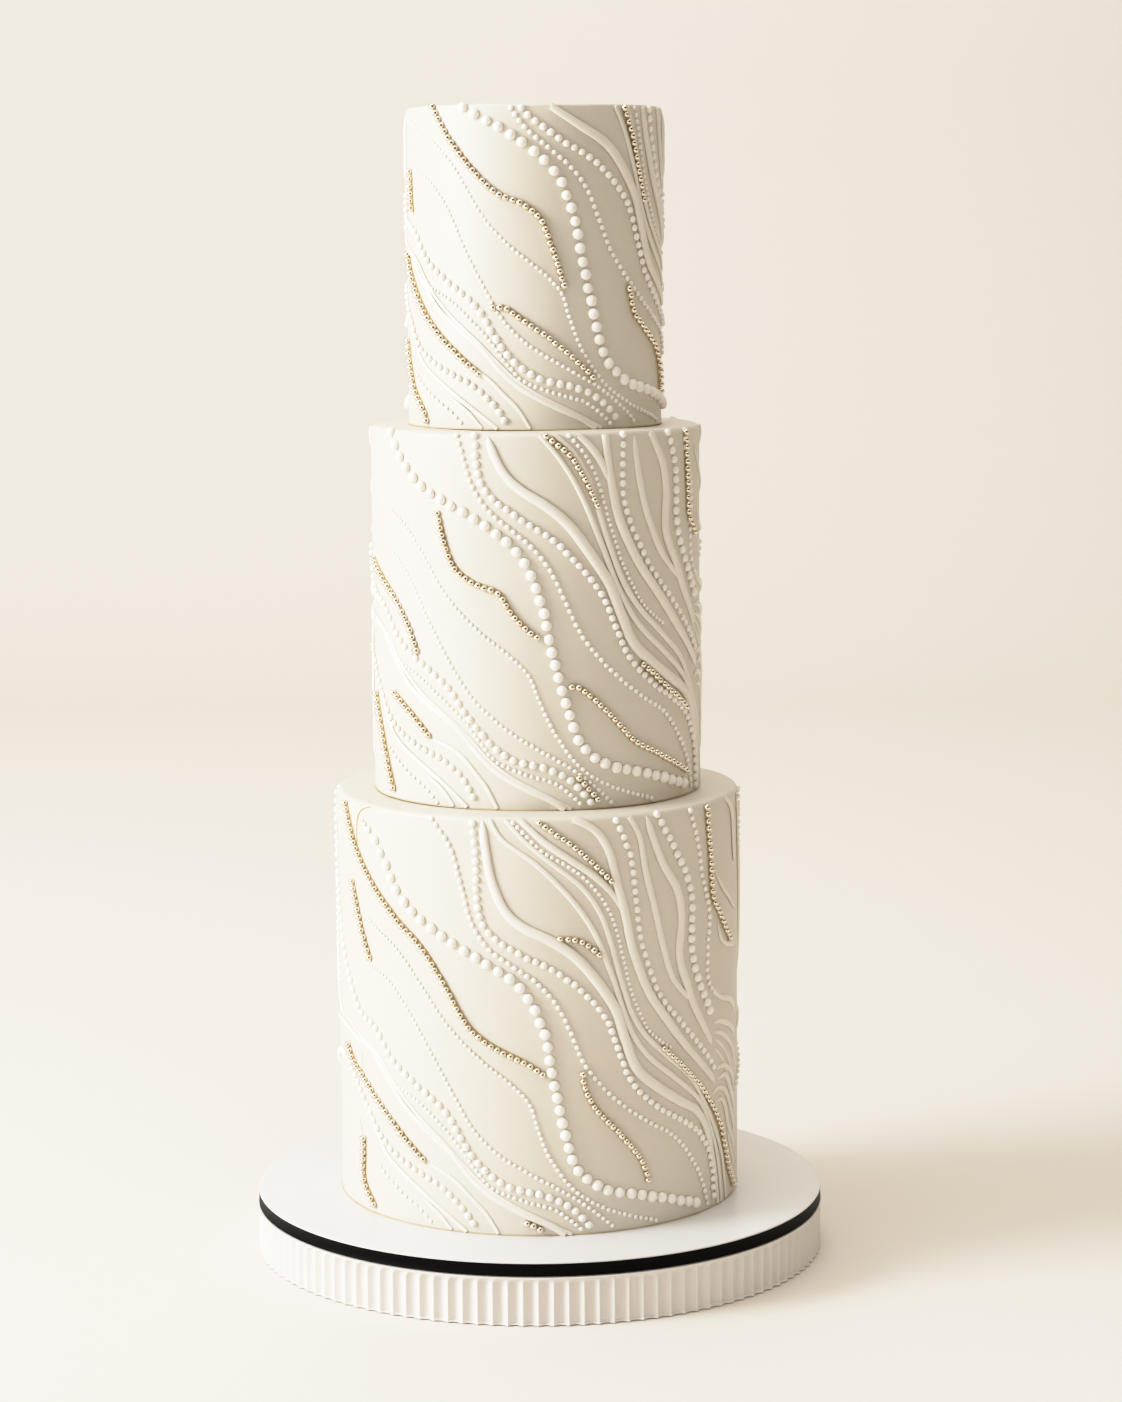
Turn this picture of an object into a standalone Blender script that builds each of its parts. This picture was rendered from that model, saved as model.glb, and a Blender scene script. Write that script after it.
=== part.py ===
"""Three-tier fondant cake with piped strands and ropes, on a ribboned board over a fluted drum.

The foot of the drum rests on Z = 0, the cake's axis is Z, and the front faces -Y. Strands are laid on
each tier's wall by two lengths: along (arc length from the front, positive to the viewer's right) and
up (height above the tier's foot).
"""

import math

import bmesh
import bpy
import numpy as np
from mathutils import Matrix, Vector

# Stand
DRUM_RADIUS = 0.1808
DRUM_LIP_RADIUS = 0.1813
DRUM_HEIGHT = 0.0303
DRUM_LIP_HEIGHT = 0.0018
FLUTE_COUNT = 124
FLUTE_DEPTH = 0.0019
FLUTE_RIDGE_SHARE = 0.16
FLUTE_STEPS = 3

BOARD_FOOT = 0.0306
BOARD_TOP = 0.0397
BOARD_RADIUS = 0.1807
BOARD_SEAT_RADIUS = 0.1799
BOARD_LIP_HEIGHT = 0.0008
RIBBON_INNER_RADIUS = 0.1802
RIBBON_OUTER_RADIUS = 0.1807
RIBBON_FOOT = 0.0309
RIBBON_TOP = 0.0386
STAND_SEGMENTS = 64

# Tiers: radius, foot height, tier height, shift of the piping along the wall, window of the piping
TIER_SEGMENTS = 48
TOP_EDGE_RADIUS = 0.0038
TOP_EDGE_STEPS = 3
TIERS = {
    "bottom_tier": dict(radius=0.1270, foot=0.0400, height=0.2581, shift=0.0, start=-0.229),
    "middle_tier": dict(radius=0.1027, foot=0.2984, height=0.2285, shift=0.0, start=-0.155),
    "top_tier": dict(radius=0.0789, foot=0.5272, height=0.1944, shift=0.022, start=-0.124),
}

# Piping: knots are (along, up) in millimetres on the bottom tier's wall
PEARL_DIAMETER = 0.0066
PEARL_PITCH = 0.0098
PEARL_STRAND = [
    (-129, 251), (-111, 237), (-92, 208), (-60, 183.5), (-26, 165.5), (-8, 151.5), (4.5, 125),
    (10, 94), (18, 57), (24, 41), (40, 28), (76, 18), (112, 7),
]
ROPES = [
    (0.0062, [(-33, 258), (-31, 240), (-27, 219), (-19, 201), (-8, 191), (8, 183), (22, 173.5),
              (35, 159), (48, 139), (54, 121), (62, 101), (76, 88), (95, 75.5), (111, 66),
              (122, 51), (131, 26), (138, 1)]),
    (0.0052, [(20, 258), (35, 250), (44, 237), (49, 218), (55, 196), (60, 174), (70, 149),
              (84, 129), (101, 109), (119, 92), (134, 76)]),
    (0.0050, [(69, 258), (74, 243), (82, 225), (93, 208), (97, 190), (95, 166), (102, 147),
              (111, 129), (129, 104)]),
    (0.0042, [(-229, 98), (-200, 108), (-165, 119), (-128, 108), (-110, 91), (-90, 73), (-70, 59),
              (-55, 48), (-42, 35), (-28, 23.5), (-8, 13), (8, 6), (17, 0)]),
    (0.0042, [(-222, 256), (-214, 225), (-205, 190), (-196, 155), (-184, 131), (-165, 119)]),
]
ROPE_HEIGHT_SHARE = 0.40
ROPE_SUNK = 0.0010
ROPE_STEP = 0.0165
ROPE_TIP_SHARE = 0.35
FOOT_CLEARANCE = 0.0022
EDGE_CLEARANCE = 0.0052

# Where a tier's piping strays from the shared plan: along, up, stray along, stray up, reach (mm)
STRAYS = {
    "bottom_tier": [],
    "middle_tier": [(-80, 202, 2, 1, 22), (-32, 182, 1, 4.5, 28), (52, 192, -5, 0, 30),
                    (92, 190, -5, 0, 30), (36, 138, -2.5, 0, 18), (12, 42, 3.5, 0, 26),
                    (-42, 45, 3, 2, 20), (-66, 16, 3, 0, 18), (-96, 150, 3, 0, 20)],
    "top_tier": [(-66, 190, 1, 3, 20), (-34, 178, 2, 3, 22), (-86, 150, 6, 0, 28),
                 (8, 118, -1.5, 0, 20)],
}


def clear_scene():
    for item in list(bpy.data.objects):
        bpy.data.objects.remove(item, do_unlink=True)


def make_material(name, colour, roughness, metallic=0.0):
    material = bpy.data.materials.new(name)
    material.use_nodes = True
    shader = material.node_tree.nodes["Principled BSDF"]
    shader.inputs["Base Color"].default_value = (*colour, 1.0)
    shader.inputs["Roughness"].default_value = roughness
    shader.inputs["Metallic"].default_value = metallic
    return material


def object_from(bm, name, material=None, collection=None):
    bmesh.ops.recalc_face_normals(bm, faces=bm.faces)
    mesh = bpy.data.meshes.new(name)
    bm.to_mesh(mesh)
    bm.free()
    made = bpy.data.objects.new(name, mesh)
    (collection or bpy.context.scene.collection).objects.link(made)
    if material is not None:
        mesh.materials.append(material)
    return made


def shade_round(made, sharp_degrees=38.0):
    made.data.shade_smooth()
    made.data.set_sharp_from_angle(angle=math.radians(sharp_degrees))


def lathe(profile, segments):
    """Closed solid from an outline of (radius, height) points turned about Z."""
    bm = bmesh.new()
    points = [bm.verts.new((radius, 0.0, height)) for radius, height in profile]
    edges = [bm.edges.new(pair) for pair in zip(points, points[1:])]
    if profile[0][0] > 0.0:
        edges.append(bm.edges.new((points[-1], points[0])))
    bmesh.ops.spin(
        bm, geom=points + edges, axis=(0, 0, 1), cent=(0, 0, 0),
        angle=math.tau, steps=segments, use_merge=False, use_duplicate=False,
    )
    bmesh.ops.remove_doubles(bm, verts=bm.verts, dist=1e-5)
    return bm


def smooth_path(knots, step=0.001):
    """Points about a step apart on the smooth curve through the knots, all in metres."""
    given = np.array(knots, float)
    given = np.vstack([2 * given[0] - given[1], given, 2 * given[-1] - given[-2]])
    pieces = []
    for a, b, c, d in zip(given, given[1:], given[2:], given[3:]):
        count = max(2, int(np.hypot(*(c - b)) / step))
        t = np.linspace(0.0, 1.0, count, endpoint=False)[:, None]
        pieces.append(
            0.5 * (2 * b + (c - a) * t + (2 * a - 5 * b + 4 * c - d) * t**2
                   + (3 * b - a - 3 * c + d) * t**3)
        )
    pieces.append(given[-2][None])
    return np.vstack(pieces)


def laid_path(knots, tier_name):
    """The knots' curve as this tier carries it: strayed, shifted and kept inside the tier's wall."""
    tier = TIERS[tier_name]
    path = smooth_path(np.array(knots, float) / 1000.0)
    laid = path.copy()
    for along, up, stray_along, stray_up, reach in np.array(STRAYS[tier_name]) / 1000.0:
        away = (path[:, 0] - along) ** 2 + (path[:, 1] - up) ** 2
        pull = np.exp(-away / (2 * reach**2))[:, None]
        laid += pull * np.array([stray_along, stray_up])
    laid[:, 0] += tier["shift"]
    half_turn = math.pi * tier["radius"]
    inside = (
        (laid[:, 1] > FOOT_CLEARANCE)
        & (laid[:, 1] < tier["height"] - EDGE_CLEARANCE)
        & (laid[:, 0] > tier["start"])
        & (laid[:, 0] < tier["start"] + half_turn)
    )
    return laid[inside]


def spaced(path, pitch):
    """Points a pitch apart along the path."""
    travelled = np.concatenate([[0.0], np.cumsum(np.hypot(*np.diff(path, axis=0).T))])
    count = max(2, int(round(travelled[-1] / pitch)) + 1)
    wanted = np.linspace(0.0, travelled[-1], count)
    return np.column_stack([np.interp(wanted, travelled, path[:, axis]) for axis in (0, 1)])


def wall_frame(tier, along, up, turn):
    """Matrix at a place on the wall: X along it, Y up, Z outwards."""
    angle = along / tier["radius"] + turn
    across = Vector((math.cos(angle), math.sin(angle), 0.0))
    outward = Vector((math.sin(angle), -math.cos(angle), 0.0))
    place = outward * tier["radius"] + Vector((0.0, 0.0, tier["foot"] + up))
    frame = Matrix.Identity(4)
    for column, axis in enumerate((across, Vector((0, 0, 1)), outward, place)):
        frame[0][column], frame[1][column], frame[2][column] = axis
    return frame


def add_pearls(tier_name, turn, collection):
    tier = TIERS[tier_name]
    bm = bmesh.new()
    for along, up in spaced(laid_path(PEARL_STRAND, tier_name), PEARL_PITCH):
        bmesh.ops.create_uvsphere(
            bm, u_segments=5, v_segments=3, radius=PEARL_DIAMETER / 2,
            matrix=wall_frame(tier, along, up, turn),
        )
    object_from(bm, f"{tier_name}_pearls", collection=collection)


def add_rope(tier_name, knots, width, turn, collection):
    """Rounded ridge along the path, its foot sunk in the wall and its ends narrowed."""
    tier = TIERS[tier_name]
    path = laid_path(knots, tier_name)
    if len(path) < 20:
        return
    places = spaced(path, ROPE_STEP)
    height = width * ROPE_HEIGHT_SHARE
    section = [(-0.52, -ROPE_SUNK), (-0.27, height), (0.27, height), (0.52, -ROPE_SUNK)]
    bm = bmesh.new()
    rings = []
    for index, (along, up) in enumerate(places):
        before = places[max(index - 1, 0)]
        after = places[min(index + 1, len(places) - 1)]
        heading = math.atan2(after[1] - before[1], after[0] - before[0])
        tip = index in (0, len(places) - 1)
        share = ROPE_TIP_SHARE if tip else 1.0
        ring = []
        for side, out in section:
            offset = side * width * share
            frame = wall_frame(
                tier, along - math.sin(heading) * offset, up + math.cos(heading) * offset, turn
            )
            ring.append(bm.verts.new(frame @ Vector((0, 0, out if out < 0 else out * share))))
        rings.append(ring)
    for ring, following in zip(rings, rings[1:]):
        for side in range(len(section)):
            across = (side + 1) % len(section)
            bm.faces.new((ring[side], ring[across], following[across], following[side]))
    bm.faces.new(rings[0])
    bm.faces.new(rings[-1])
    object_from(bm, f"{tier_name}_rope", collection=collection)


def build_tier(tier_name, material):
    """Fondant drum with its piping joined on, the plan laid once on each half of the wall."""
    tier = TIERS[tier_name]
    radius, foot = tier["radius"], tier["foot"]
    top = foot + tier["height"]
    outline = [(0.0, foot), (radius, foot)]
    for step in range(TOP_EDGE_STEPS + 1):
        angle = math.radians(90.0 * step / TOP_EDGE_STEPS)
        outline.append((
            radius - TOP_EDGE_RADIUS * (1 - math.cos(angle)),
            top - TOP_EDGE_RADIUS * (1 - math.sin(angle)),
        ))
    outline.append((0.0, top))
    core = object_from(lathe(outline, TIER_SEGMENTS), tier_name)

    toppings = bpy.data.collections.new(f"{tier_name}_toppings")
    bpy.context.scene.collection.children.link(toppings)
    for turn in (0.0, math.pi):
        add_pearls(tier_name, turn, toppings)
        for width, knots in ROPES:
            add_rope(tier_name, knots, width, turn, toppings)

    union = core.modifiers.new("Join toppings", "BOOLEAN")
    union.operation = "UNION"
    union.operand_type = "COLLECTION"
    union.collection = toppings
    union.solver = "EXACT"
    bpy.context.view_layer.update()
    graph = bpy.context.evaluated_depsgraph_get()
    joined = bpy.data.meshes.new_from_object(core.evaluated_get(graph))
    core.modifiers.clear()
    core.data = joined
    joined.materials.clear()
    joined.materials.append(material)
    for item in list(toppings.objects):
        bpy.data.objects.remove(item, do_unlink=True)
    bpy.data.collections.remove(toppings)
    shade_round(core, 60.0)


def build_board(material):
    lip_foot = BOARD_TOP - BOARD_LIP_HEIGHT
    outline = [
        (0.0, BOARD_FOOT), (BOARD_SEAT_RADIUS, BOARD_FOOT), (BOARD_SEAT_RADIUS, lip_foot),
        (BOARD_RADIUS, lip_foot), (BOARD_RADIUS, BOARD_TOP), (0.0, BOARD_TOP),
    ]
    shade_round(object_from(lathe(outline, STAND_SEGMENTS), "cake_board", material))


def build_ribbon(material):
    outline = [
        (RIBBON_INNER_RADIUS, RIBBON_FOOT), (RIBBON_OUTER_RADIUS, RIBBON_FOOT),
        (RIBBON_OUTER_RADIUS, RIBBON_TOP), (RIBBON_INNER_RADIUS, RIBBON_TOP),
    ]
    shade_round(object_from(lathe(outline, STAND_SEGMENTS), "ribbon_band", material))


def build_drum(material):
    """Prism whose outline is a ring of shallow scallops, with a plain round lip at its top."""
    bm = bmesh.new()
    rim = []
    pitch = math.tau / FLUTE_COUNT
    for flute in range(FLUTE_COUNT):
        for step in range(FLUTE_STEPS + 1):
            share = step / FLUTE_STEPS
            angle = pitch * (flute + FLUTE_RIDGE_SHARE / 2 + (1 - FLUTE_RIDGE_SHARE) * share)
            radius = DRUM_RADIUS - FLUTE_DEPTH * math.sin(math.pi * share)
            rim.append(bm.verts.new((radius * math.cos(angle), radius * math.sin(angle), 0.0)))
    foot = bm.faces.new(rim)
    raised = bmesh.ops.extrude_face_region(bm, geom=[foot])["geom"]
    lifted = [item for item in raised if isinstance(item, bmesh.types.BMVert)]
    body_height = DRUM_HEIGHT - DRUM_LIP_HEIGHT / 2
    bmesh.ops.translate(bm, verts=lifted, vec=(0, 0, body_height))
    drum = object_from(bm, "fluted_base", material)

    lip_foot = DRUM_HEIGHT - DRUM_LIP_HEIGHT
    lip_outline = [(0.0, lip_foot), (DRUM_LIP_RADIUS, lip_foot), (DRUM_LIP_RADIUS, DRUM_HEIGHT),
                   (0.0, DRUM_HEIGHT)]
    lip = object_from(lathe(lip_outline, STAND_SEGMENTS), "drum_lip")
    union = drum.modifiers.new("Join lip", "BOOLEAN")
    union.operation = "UNION"
    union.object = lip
    union.solver = "EXACT"
    bpy.context.view_layer.update()
    graph = bpy.context.evaluated_depsgraph_get()
    drum.data = bpy.data.meshes.new_from_object(drum.evaluated_get(graph))
    drum.modifiers.clear()
    drum.data.materials.clear()
    drum.data.materials.append(material)
    bpy.data.objects.remove(lip, do_unlink=True)
    shade_round(drum)


clear_scene()
fondant = make_material("ivory_fondant", (0.86, 0.80, 0.69), 0.42)
board_white = make_material("board_white", (0.82, 0.80, 0.76), 0.38)
black_satin = make_material("black_satin", (0.012, 0.011, 0.011), 0.33)
drum_white = make_material("drum_white", (0.84, 0.81, 0.76), 0.55)

build_drum(drum_white)
build_board(board_white)
build_ribbon(black_satin)
for tier_name in TIERS:
    build_tier(tier_name, fondant)
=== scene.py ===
import math

import bmesh
import bpy
import numpy as np
from mathutils import Matrix, Vector


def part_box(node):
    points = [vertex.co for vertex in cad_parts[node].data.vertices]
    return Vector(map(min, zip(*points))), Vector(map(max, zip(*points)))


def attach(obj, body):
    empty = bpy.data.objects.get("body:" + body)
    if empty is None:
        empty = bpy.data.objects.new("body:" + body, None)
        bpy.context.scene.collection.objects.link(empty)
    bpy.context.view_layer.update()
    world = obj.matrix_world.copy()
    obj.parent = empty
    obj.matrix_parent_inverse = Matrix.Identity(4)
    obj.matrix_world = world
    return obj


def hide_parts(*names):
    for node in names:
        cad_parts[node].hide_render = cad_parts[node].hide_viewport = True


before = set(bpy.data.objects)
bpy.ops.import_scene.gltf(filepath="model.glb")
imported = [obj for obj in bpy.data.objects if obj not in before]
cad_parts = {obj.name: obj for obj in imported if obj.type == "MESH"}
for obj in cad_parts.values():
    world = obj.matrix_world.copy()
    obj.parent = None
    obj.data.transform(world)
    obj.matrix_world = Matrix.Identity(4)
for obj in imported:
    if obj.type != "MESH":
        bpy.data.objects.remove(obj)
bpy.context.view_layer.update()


# The view: a long lens in front of the cake and a little above its middle, looking slightly down.
# Angles and distance were fitted to the tiers' rims, so the frame matches the photograph's.
def aimed_camera():
    focal_length, looking_down, tilted = 87.5, 7.88, -0.276
    stands_at = (0.0152, -2.138, 0.647)
    lens = bpy.data.cameras.new("view")
    lens.sensor_fit = "VERTICAL"
    lens.sensor_height = 36.0
    lens.lens = focal_length
    camera = bpy.data.objects.new("view", lens)
    bpy.context.scene.collection.objects.link(camera)
    pitch = Matrix.Rotation(math.radians(90.0 - looking_down), 4, "X")
    roll = Matrix.Rotation(math.radians(tilted), 4, "Z")
    camera.matrix_world = Matrix.Translation(stands_at) @ pitch @ roll
    bpy.context.scene.camera = camera


aimed_camera()


# The studio: a pale cream sweep of paper under and behind the cake, a broad window-like light from
# the left, weak ones in front, overhead and on the paper, two small ones low by the stand, and warm
# light from a room that is dark only by the camera.
def studio():
    sweep_width, front, back, height, bend = 8.0, -3.2, 3.4, 4.0, 0.9
    bm = bmesh.new()
    line = [(front, 0.0), (back - bend, 0.0)]
    bend_steps = 12
    for step in range(1, bend_steps):
        angle = math.radians(90.0 * step / bend_steps)
        line.append((back - bend + bend * math.sin(angle), bend * (1 - math.cos(angle))))
    line += [(back, bend), (back, height)]
    points = [bm.verts.new((-sweep_width / 2, y, z)) for y, z in line]
    edges = [bm.edges.new(pair) for pair in zip(points, points[1:])]
    drawn = bmesh.ops.extrude_edge_only(bm, edges=edges)["geom"]
    far = [item for item in drawn if isinstance(item, bmesh.types.BMVert)]
    bmesh.ops.translate(bm, verts=far, vec=(sweep_width, 0, 0))
    mesh = bpy.data.meshes.new("paper_sweep")
    bm.to_mesh(mesh)
    bm.free()
    mesh.shade_smooth()
    paper = bpy.data.materials.new("paper")
    paper.use_nodes = True
    shader = paper.node_tree.nodes["Principled BSDF"]
    shader.inputs["Base Color"].default_value = (0.76, 0.708, 0.652, 1)
    shader.inputs["Roughness"].default_value = 0.9
    mesh.materials.append(paper)
    sweep = bpy.data.objects.new("paper_sweep", mesh)
    bpy.context.scene.collection.objects.link(sweep)

    cake, wall = Vector((0.0, 0.0, 0.40)), Vector((0.0, back, 1.2))
    foot = Vector((0.04, -0.06, 0.08))
    # Each light is a name, what it is aimed at, its place, size in metres, power in watts and colour.
    lights = (
        ("window", cake, (-3.2, -1.12, 1.6), 1.3, 138.0, (0.98, 0.985, 0.99)),
        ("curtain", cake, (-3.3, -1.15, 1.64), 3.0, 66.0, (0.99, 0.985, 0.98)),
        ("front", cake, (-1.1, -2.3, 1.1), 1.2, 2.2, (0.99, 0.975, 0.95)),
        ("overhead", cake, (-0.2, -0.3, 2.6), 2.2, 31.0, (0.97, 0.98, 0.99)),
        ("wash", wall, (0.1, 1.7, 3.0), 1.6, 33.0, (1.0, 0.965, 0.93)),
        ("card", foot, (0.55, -0.45, 0.10), 0.3, 0.24, (1.0, 0.93, 0.83)),
        ("kicker", foot, (-0.35, -1.0, 0.16), 0.25, 0.85, (1.0, 0.97, 0.92)),
    )
    for name, target, place, size, power, colour in lights:
        lamp = bpy.data.lights.new(name, "AREA")
        lamp.size = size
        lamp.energy = power
        lamp.color = colour
        holder = bpy.data.objects.new(name, lamp)
        bpy.context.scene.collection.objects.link(holder)
        holder.location = place
        holder.rotation_euler = (target - Vector(place)).to_track_quat("-Z", "Y").to_euler()

    room = bpy.data.worlds.new("room")
    room.use_nodes = True
    glow = room.node_tree.nodes["Background"]
    glow.inputs["Strength"].default_value = 0.575
    nodes, links = room.node_tree.nodes, room.node_tree.links
    sky = nodes.new("ShaderNodeTexCoord")
    towards_camera = Vector((0.22, -0.96, 0.12)).normalized()
    towards = nodes.new("ShaderNodeVectorMath")
    towards.operation = "DOT_PRODUCT"
    towards.inputs[1].default_value = towards_camera
    fall = nodes.new("ShaderNodeValToRGB")
    fall.color_ramp.interpolation = "EASE"
    fall.color_ramp.elements[0].position = 0.75
    fall.color_ramp.elements[0].color = (1.0, 0.86, 0.66, 1)
    fall.color_ramp.elements[1].position = 0.86
    fall.color_ramp.elements[1].color = (0.06, 0.045, 0.03, 1)
    links.new(sky.outputs["Generated"], towards.inputs[0])
    links.new(towards.outputs["Value"], fall.inputs["Fac"])
    links.new(fall.outputs["Color"], glow.inputs["Color"])
    bpy.context.scene.world = room


studio()


# Developing: like a photograph, the picture keeps the shades as they are and rolls off the highlights.
def developing():
    view = bpy.context.scene.view_settings
    view.view_transform = "Standard"
    view.use_curve_mapping = True
    brightest = 2.0
    tone = view.curve_mapping
    tone.white_level = (brightest, brightest, brightest)
    curve = tone.curves[3]
    for light, shown in ((0.5, 0.5), (0.8, 0.745), (1.1, 0.875), (1.5, 0.955)):
        curve.points.new(light / brightest, shown)
    tone.update()


developing()


# Drum: a warm white moulded ring of shallow scooped flutes with sharp ridges between them, a plain
# lip over their arched heads and a thin foot that follows them. One flute is shaped and spun round.
def finished_piece(bm, name, materials, crease_degrees):
    bmesh.ops.remove_doubles(bm, verts=bm.verts, dist=1e-6)
    bmesh.ops.recalc_face_normals(bm, faces=bm.faces)
    mesh = bpy.data.meshes.new(name)
    bm.to_mesh(mesh)
    bm.free()
    mesh.shade_smooth()
    mesh.set_sharp_from_angle(angle=math.radians(crease_degrees))
    for material in materials:
        mesh.materials.append(material)
    piece = bpy.data.objects.new(name, mesh)
    bpy.context.scene.collection.objects.link(piece)
    return piece


def surface_group():
    """Slow drift between two colours, with a fine grain for the bump."""
    group = bpy.data.node_groups.new("sugar_surface", "ShaderNodeTree")
    sockets = group.interface
    for label, kind in (
        ("Colour", "NodeSocketColor"), ("Drift colour", "NodeSocketColor"),
        ("Drift scale", "NodeSocketFloat"), ("Grain scale", "NodeSocketFloat"),
    ):
        sockets.new_socket(label, in_out="INPUT", socket_type=kind)
    sockets.new_socket("Colour", in_out="OUTPUT", socket_type="NodeSocketColor")
    sockets.new_socket("Grain", in_out="OUTPUT", socket_type="NodeSocketFloat")
    nodes, links = group.nodes, group.links
    given = nodes.new("NodeGroupInput")
    made = nodes.new("NodeGroupOutput")
    place = nodes.new("ShaderNodeTexCoord")
    drift = nodes.new("ShaderNodeTexNoise")
    drift.inputs["Detail"].default_value = 2.0
    grain = nodes.new("ShaderNodeTexNoise")
    grain.inputs["Detail"].default_value = 4.0
    mix = nodes.new("ShaderNodeMix")
    mix.data_type = "RGBA"
    links.new(place.outputs["Object"], drift.inputs["Vector"])
    links.new(place.outputs["Object"], grain.inputs["Vector"])
    links.new(given.outputs["Drift scale"], drift.inputs["Scale"])
    links.new(given.outputs["Grain scale"], grain.inputs["Scale"])
    links.new(drift.outputs["Fac"], mix.inputs["Factor"])
    links.new(given.outputs["Colour"], mix.inputs["A"])
    links.new(given.outputs["Drift colour"], mix.inputs["B"])
    links.new(mix.outputs["Result"], made.inputs["Colour"])
    links.new(grain.outputs["Fac"], made.inputs["Grain"])
    return group


sugar_surface = surface_group()


def surfaced(name, colour, drift_colour, roughness, drift_scale, grain_scale, grain_depth):
    """Material whose colour drifts and whose skin has a fine grain, with its shader for the rest."""
    material = bpy.data.materials.new(name)
    material.use_nodes = True
    nodes, links = material.node_tree.nodes, material.node_tree.links
    shader = nodes["Principled BSDF"]
    shader.inputs["Roughness"].default_value = roughness
    finish = nodes.new("ShaderNodeGroup")
    finish.node_tree = sugar_surface
    finish.inputs["Colour"].default_value = (*colour, 1)
    finish.inputs["Drift colour"].default_value = (*drift_colour, 1)
    finish.inputs["Drift scale"].default_value = drift_scale
    finish.inputs["Grain scale"].default_value = grain_scale
    bump = nodes.new("ShaderNodeBump")
    bump.inputs["Strength"].default_value = 1.0
    bump.inputs["Distance"].default_value = grain_depth
    links.new(finish.outputs["Colour"], shader.inputs["Base Color"])
    links.new(finish.outputs["Grain"], bump.inputs["Height"])
    links.new(bump.outputs["Normal"], shader.inputs["Normal"])
    return material, shader


def drum():
    low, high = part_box("fluted_base")
    foot, head = low[2], high[2]
    ridge_radius = 0.1808
    flutes, depth, ridge_share = 124, 0.0029, 0.07
    lip_height, lip_proud, arch_height = 0.0010, 0.0005, 0.0034
    plinth_height, plinth_inset = 0.0007, 0.0030
    foot_height, foot_proud = 0.0018, 0.0005
    columns = 12
    shoulder = head - lip_height
    # Each row is a height, how far it stands out, and the share of the flutes' depth it has.
    rows = [
        (foot, -plinth_inset, 0.6), (foot + plinth_height, -plinth_inset, 0.6),
        (foot + plinth_height, foot_proud, 0.75), (foot + foot_height - 0.0003, foot_proud, 0.75),
        (foot + foot_height, foot_proud * 0.4, 0.85), (foot + foot_height + 0.0001, 0.0, 1.0),
        (foot + 0.006, 0.0, 1.0), (foot + 0.013, 0.0, 1.0), (foot + 0.020, 0.0, 1.0),
    ]
    rows += [
        (shoulder - arch_height * (1 - share), 0.0, 1.0)
        for share in (0.0, 0.35, 0.6, 0.8, 0.92, 1.0)
    ]
    rows += [
        (shoulder + 0.0001, lip_proud * 0.7, 0.0), (shoulder + 0.0003, lip_proud, 0.0),
        (head - 0.0002, lip_proud, 0.0), (head, lip_proud * 0.4, 0.0),
    ]
    pitch = math.tau / flutes

    bm = bmesh.new()
    bmesh.ops.create_grid(bm, x_segments=columns, y_segments=len(rows) - 1, size=1.0)
    for vert in bm.verts:
        across = (vert.co.x + 1) / 2
        height, proud, carved = rows[round((vert.co.y + 1) / 2 * (len(rows) - 1))]
        reach = (across - 0.5) * 2 / (1 - ridge_share)
        rise = max(0.0, (height - (shoulder - arch_height)) / arch_height)
        scoop = carved * max(0.0, 1.0 - reach**2 - rise**2)
        radius = ridge_radius + proud - depth * scoop
        angle = pitch * across
        vert.co = (radius * math.cos(angle), radius * math.sin(angle), height)
    bmesh.ops.spin(
        bm, geom=bm.verts[:] + bm.edges[:] + bm.faces[:], axis=(0, 0, 1), cent=(0, 0, 0),
        angle=math.tau - pitch, steps=flutes - 1, use_duplicate=True,
    )
    bmesh.ops.remove_doubles(bm, verts=bm.verts, dist=1e-5)
    bmesh.ops.holes_fill(bm, edges=bm.edges, sides=0)
    plaster, shader = surfaced(
        "drum_white", (0.76, 0.73, 0.695), (0.735, 0.70, 0.66), roughness=0.62,
        drift_scale=9.0, grain_scale=900.0, grain_depth=0.00006,
    )
    shader.inputs["Specular IOR Level"].default_value = 0.35
    piece = finished_piece(bm, "fluted_drum", [plaster], crease_degrees=28.0)
    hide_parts("fluted_base")
    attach(piece, "root")


drum()


# Board: a round of dense white board under the cake, covered in smooth satin paper, its edge set
# back for the ribbon so that only a thin white rim shows above it.
def turned(outline, steps):
    """Closed skin of (radius, height) points turned about the cake's axis."""
    bm = bmesh.new()
    points = [bm.verts.new((radius, 0.0, height)) for radius, height in outline]
    edges = [bm.edges.new(pair) for pair in zip(points, points[1:])]
    if outline[0][0] > 0.0:
        edges.append(bm.edges.new((points[-1], points[0])))
    bmesh.ops.spin(
        bm, geom=points + edges, axis=(0, 0, 1), cent=(0, 0, 0),
        angle=math.tau, steps=steps, use_merge=True,
    )
    bmesh.ops.remove_doubles(bm, verts=bm.verts, dist=1e-5)
    return bm


STAND_STEPS = 256


def board():
    low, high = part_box("cake_board")
    foot, top = low[2], high[2]
    radius, seat_radius, rim = 0.1807, 0.1799, 0.0008
    soft = 0.0003
    outline = [
        (0.0, foot), (seat_radius, foot), (seat_radius, top - rim), (radius - 0.0001, top - rim),
        (radius, top - rim + 0.0002), (radius, top - soft), (radius - soft * 0.3, top - soft * 0.3),
        (radius - soft, top), (radius - 0.004, top), (0.09, top), (0.0, top),
    ]
    paper, shader = surfaced(
        "board_white", (0.725, 0.725, 0.725), (0.71, 0.706, 0.702), roughness=0.36,
        drift_scale=5.0, grain_scale=420.0, grain_depth=0.00002,
    )
    shader.inputs["Coat Weight"].default_value = 0.15
    shader.inputs["Coat Roughness"].default_value = 0.2
    piece = finished_piece(turned(outline, STAND_STEPS), "board", [paper], crease_degrees=35.0)
    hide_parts("cake_board")
    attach(piece, "root")


board()


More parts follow.
